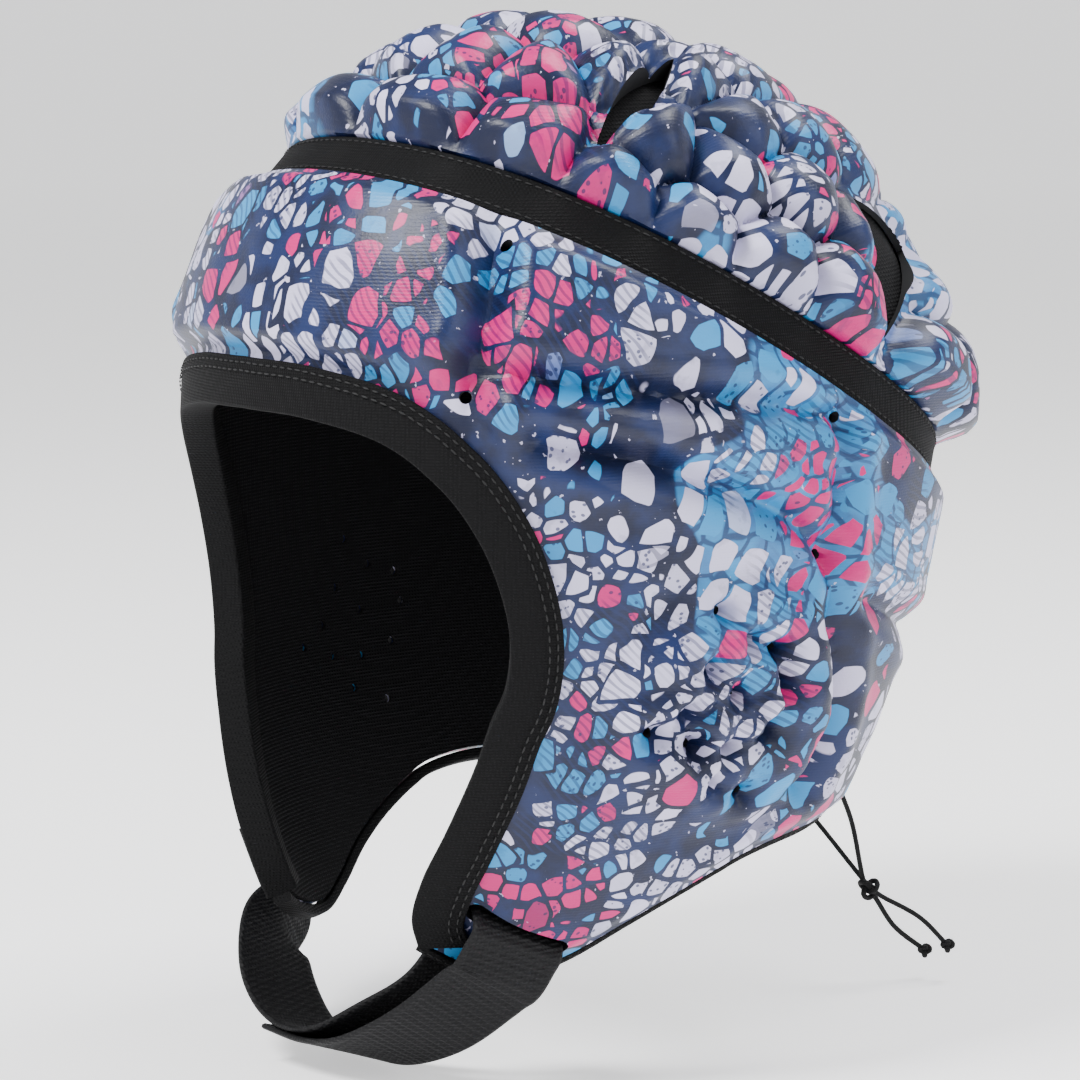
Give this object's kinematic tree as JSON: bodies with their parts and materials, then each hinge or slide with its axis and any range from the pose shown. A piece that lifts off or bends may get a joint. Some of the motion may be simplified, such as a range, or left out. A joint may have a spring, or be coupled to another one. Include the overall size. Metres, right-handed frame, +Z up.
{
  "type": "rugby scrum cap",
  "caption": "Soft padded headguard with a bumpy vented crown, face opening, ear flaps with small holes, a chin strap under the flaps and a laced back.",
  "frame": {"origin": "inner apex of the crown, where the cap sits on the head", "axes": "+Z up, -Y the way the wearer faces, +X the wearer's left"},
  "size_m": [0.1782, 0.2175, 0.268],
  "materials": {
    "crown_print": "smooth stretch fabric over foam, printed with a rounded reptile-skin pattern in pale lilac, sky blue and pink on navy",
    "panel_print": "smooth stretch fabric over foam, printed with a rounded reptile-skin pattern in pale lilac, sky blue and pink on navy",
    "lining": "matt black knitted lining",
    "tape": "matt black woven tape",
    "webbing": "black ribbed webbing",
    "cord": "thin black braided cord"
  },
  "bodies": {
    "root": {"crown_pad": "crown_print", "crown_lining": "lining", "crown_band": "tape", "lower_panel": "panel_print", "lower_lining": "lining", "face_binding": "tape", "neck_binding_left": "tape", "neck_binding_right": "tape", "chin_strap": "webbing", "back_lacing": "cord", "lace_strand_left": "cord", "lace_tail_left": "cord", "lace_end_knot_left": "cord", "lace_strand_right": "cord", "lace_tail_right": "cord", "lace_end_knot_right": "cord", "lace_knot": "cord"}
  },
  "joints": []
}
